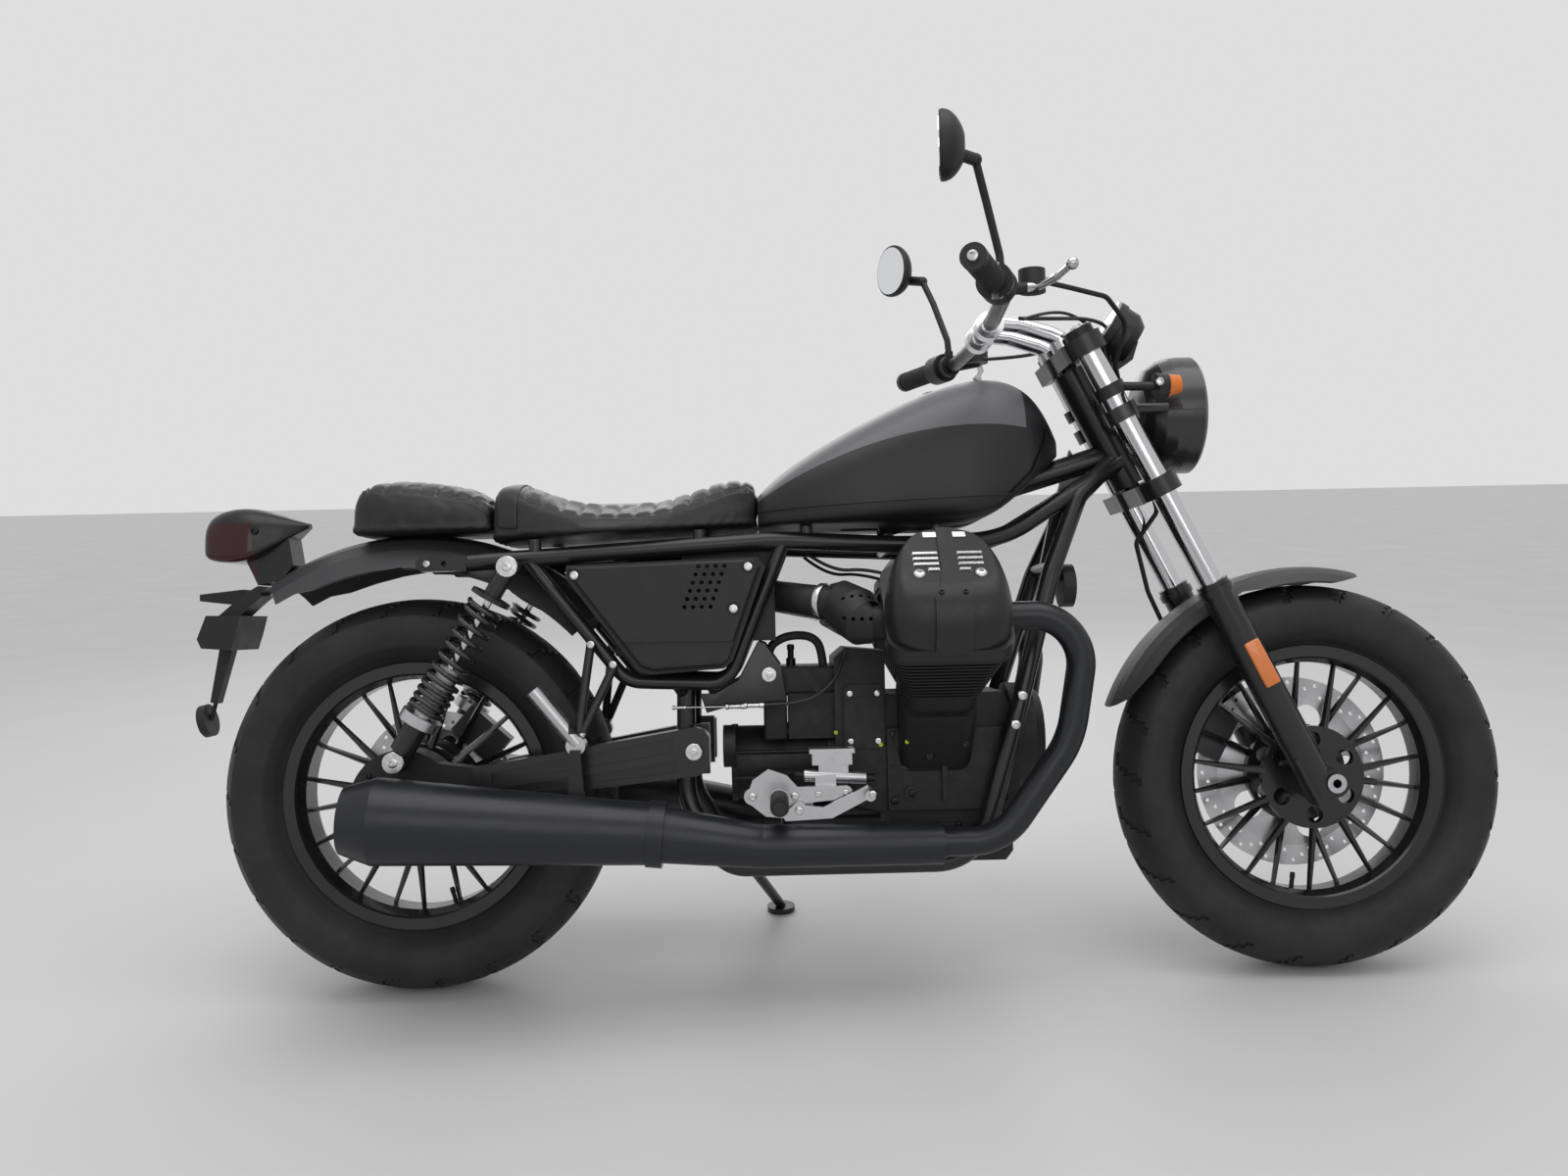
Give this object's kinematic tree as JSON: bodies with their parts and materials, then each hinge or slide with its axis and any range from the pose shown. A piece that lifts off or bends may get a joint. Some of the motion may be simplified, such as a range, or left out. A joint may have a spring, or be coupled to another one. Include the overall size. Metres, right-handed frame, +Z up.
{
  "type": "cruiser motorcycle",
  "caption": "Cruiser motorcycle with a transverse V-twin engine and shaft drive, leaning on its side stand; wheels roll, fork steers and the stand folds.",
  "frame": {"origin": "middle of the whole machine's footprint, on the floor", "axes": "+X forward, +Y to the rider's left, +Z up; the machine leans 8 degrees to its left on the side stand"},
  "size_m": [2.1521, 0.877, 1.3459],
  "materials": {
    "frame_paint": "satin black paint",
    "engine_black": "wrinkle black paint on castings",
    "tank_paint": "matte black paint with a grey top panel",
    "matte_black": "matte black moulding",
    "seat_leather": "black stitched leather",
    "exhaust_black": "satin black heat paint",
    "chrome": "hard chrome",
    "bright_metal": "polished aluminium",
    "dark_alloy": "dark anodised alloy",
    "disc_steel": "ground steel",
    "rubber": "black rubber",
    "tyre": "black tyre rubber",
    "wheel_black": "satin black wheel paint"
  },
  "bodies": {
    "chassis": {"frame": "frame_paint", "rail_tails": "frame_paint", "crankcase": "engine_black", "gearbox": "engine_black", "cylinders": "engine_black", "rocker_covers": "engine_black", "airbox": "matte_black", "intakes": "matte_black", "headers": "exhaust_black", "silencers": "exhaust_black", "swingarm": "frame_paint", "final_drive": "engine_black", "shocks": "frame_paint", "springs": "frame_paint", "fuel_tank": "tank_paint", "fuel_cap": "dark_alloy", "rider_seat": "seat_leather", "pillion_seat": "seat_leather", "side_panels": "matte_black", "rear_fender": "tank_paint", "tail_lamp": "matte_black", "plate_holder": "matte_black", "footrest_brackets": "bright_metal", "foot_controls": "dark_alloy", "pillion_footrests": "bright_metal", "horn": "matte_black", "rear_axle": "dark_alloy", "rear_caliper": "dark_alloy"},
    "steering": {"fork_yokes": "frame_paint", "fork_stanchions": "chrome", "fork_sliders": "frame_paint", "front_axle": "disc_steel", "front_fender": "tank_paint", "headlamp": "frame_paint", "front_signals": "matte_black", "gauge": "matte_black", "handlebar": "frame_paint", "hand_controls": "rubber", "mirrors": "frame_paint", "front_caliper": "dark_alloy", "brake_hose": "rubber"},
    "front_wheel_set": {"front_tyre": "tyre", "front_wheel": "wheel_black", "front_disc": "disc_steel"},
    "rear_wheel_set": {"rear_tyre": "tyre", "rear_wheel": "wheel_black", "rear_disc": "disc_steel"},
    "stand": {"side_stand": "frame_paint"}
  },
  "joints": [
    {"name": "steering_turn", "type": "hinge", "parent": "chassis", "child": "steering", "pos_m": [0.44061, -0.02448, 0.88798], "axis": [-0.4446, 0.1247, 0.887], "range_deg": [-38, 38]},
    {"name": "front_wheel_spin", "type": "hinge", "parent": "steering", "child": "front_wheel_set", "pos_m": [0.76014, -0.10516, 0.31391], "axis": [0, 0.9903, -0.1392], "continuous": true},
    {"name": "rear_wheel_spin", "type": "hinge", "parent": "chassis", "child": "rear_wheel_set", "pos_m": [-0.70486, -0.1046, 0.31787], "axis": [0, 0.9903, -0.1392], "continuous": true},
    {"name": "side_stand_swing", "type": "hinge", "parent": "chassis", "child": "stand", "pos_m": [-0.18486, 0.01455, 0.15975], "axis": [0.006, 0.7388, 0.6739], "range_deg": [0, 98]}
  ]
}
